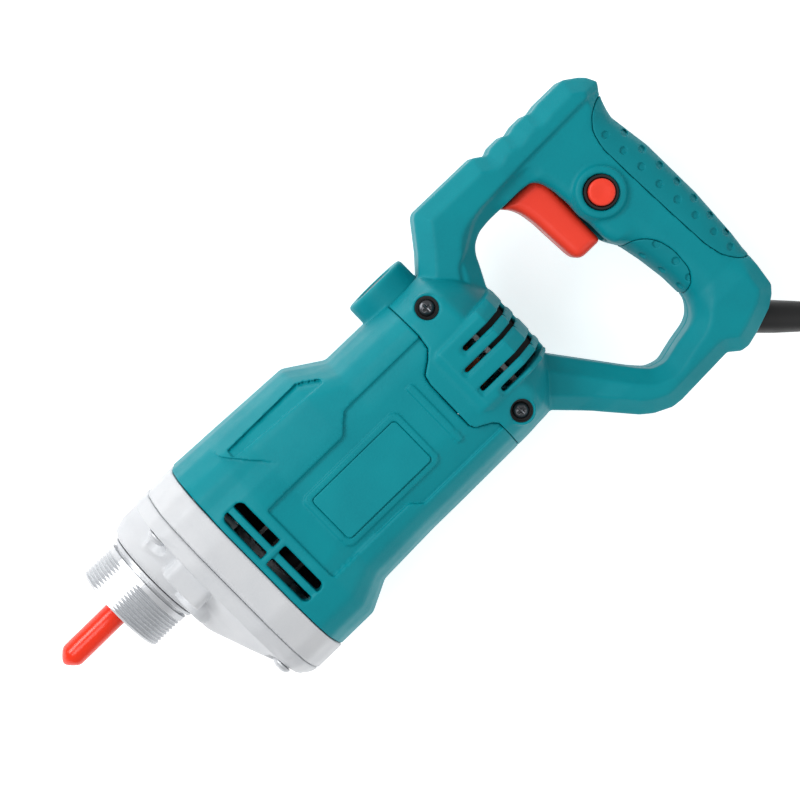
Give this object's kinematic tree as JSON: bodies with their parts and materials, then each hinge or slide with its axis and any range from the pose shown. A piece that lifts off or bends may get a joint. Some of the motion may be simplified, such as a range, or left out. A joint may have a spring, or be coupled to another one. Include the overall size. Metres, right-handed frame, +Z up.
{
  "type": "concrete vibrator",
  "caption": "Hand-held electric concrete vibrator motor with a D-handle, an aluminium gear head, a threaded coupling nose under a red cap, and a power cord.",
  "frame": {"origin": "middle of the tool's footprint without its cord, at the floor that it lies on", "axes": "+X from the coupling towards the handle, +Y the tool's upper side, +Z up, which is the tool's left side"},
  "size_m": [0.5134, 0.2151, 0.096],
  "materials": {
    "teal_plastic": "satin moulded",
    "teal_rubber": "matte soft grip",
    "red_plastic": "satin moulded",
    "red_vinyl": "glossy dipped vinyl",
    "black_plastic": "satin moulded",
    "black_rubber": "satin",
    "cast_aluminium": "fine cast, satin",
    "steel": "machined",
    "lamination": "stacked laminations",
    "copper": "enamelled copper",
    "brass": "brass",
    "carbon": "matte carbon"
  },
  "bodies": {
    "casing": {"motor_housing": "teal_plastic", "handle_shell_left": "teal_plastic", "handle_shell_right": "teal_plastic", "rating_plate": "teal_plastic", "gear_case": "cast_aluminium", "gear_cover": "cast_aluminium", "rear_bracket": "cast_aluminium", "coupling_nose": "steel", "cover_screw_1": "steel", "cover_screw_2": "steel", "cover_screw_3": "steel", "cover_screw_4": "steel", "spindle_seal": "black_rubber", "spindle_bearing_front": "steel", "spindle_bearing_rear": "steel", "armature_bearing_front": "steel", "armature_bearing_rear": "steel", "rear_bearing_sleeve": "black_rubber", "stator_core": "lamination", "field_coil_upper": "copper", "field_coil_lower": "copper", "fan_baffle": "black_plastic", "brush_holder_upper": "brass", "brush_holder_lower": "brass", "carbon_brush_upper": "carbon", "carbon_brush_lower": "carbon", "brush_spring_upper": "steel", "brush_spring_lower": "steel", "brush_cap_upper": "black_plastic", "brush_cap_lower": "black_plastic", "grip_pad_back_left": "teal_rubber", "grip_pad_back_right": "teal_rubber", "grip_pad_front_left": "teal_rubber", "grip_pad_front_right": "teal_rubber", "ear_screw_left_1": "steel", "ear_screw_left_2": "steel", "ear_screw_right_1": "steel", "ear_screw_right_2": "steel", "shell_screw_1": "steel", "shell_screw_2": "steel", "switch_body": "black_plastic", "lock_button_collar": "black_plastic", "lock_button_spring": "steel", "cord_boot": "black_rubber", "cord_clamp": "black_plastic", "power_cord": "black_rubber", "cord_coil": "black_rubber", "cord_tail": "black_rubber", "mains_plug": "black_rubber"},
    "armature": {"armature_shaft": "steel", "armature_core": "lamination", "armature_winding_front": "copper", "armature_winding_rear": "copper", "commutator": "copper", "cooling_fan": "black_plastic"},
    "spindle_set": {"spindle": "steel", "spindle_gear": "steel"},
    "cap": {"spindle_cap": "red_vinyl"},
    "trigger_body": {"trigger": "red_plastic"},
    "button": {"lock_button": "red_plastic"}
  },
  "joints": [
    {"name": "armature_spin", "type": "hinge", "parent": "casing", "child": "armature", "pos_m": [-0.079, 0.00985, 0.048], "axis": [1, 0, 0], "continuous": true},
    {"name": "spindle_spin", "type": "hinge", "parent": "casing", "child": "spindle_set", "pos_m": [-0.079, 0.03735, 0.048], "axis": [1, 0, 0], "continuous": true},
    {"name": "cap_off", "type": "slide", "parent": "spindle_set", "child": "cap", "axis": [-1, 0, 0], "range_m": [0, 0.045]},
    {"name": "trigger_press", "type": "slide", "parent": "casing", "child": "trigger_body", "axis": [1, 0, 0], "range_m": [0, 0.006], "stiffness_N_per_m": 800, "springref_m": -0.004},
    {"name": "lock_press", "type": "slide", "parent": "casing", "child": "button", "axis": [0, 0, -1], "range_m": [0, 0.0025], "stiffness_N_per_m": 500, "springref_m": -0.003, "deforming": ["lock_button_spring"]}
  ],
  "couplings": [
    {"joint": "spindle_spin", "follows": "armature_spin", "ratio": -0.29412}
  ]
}
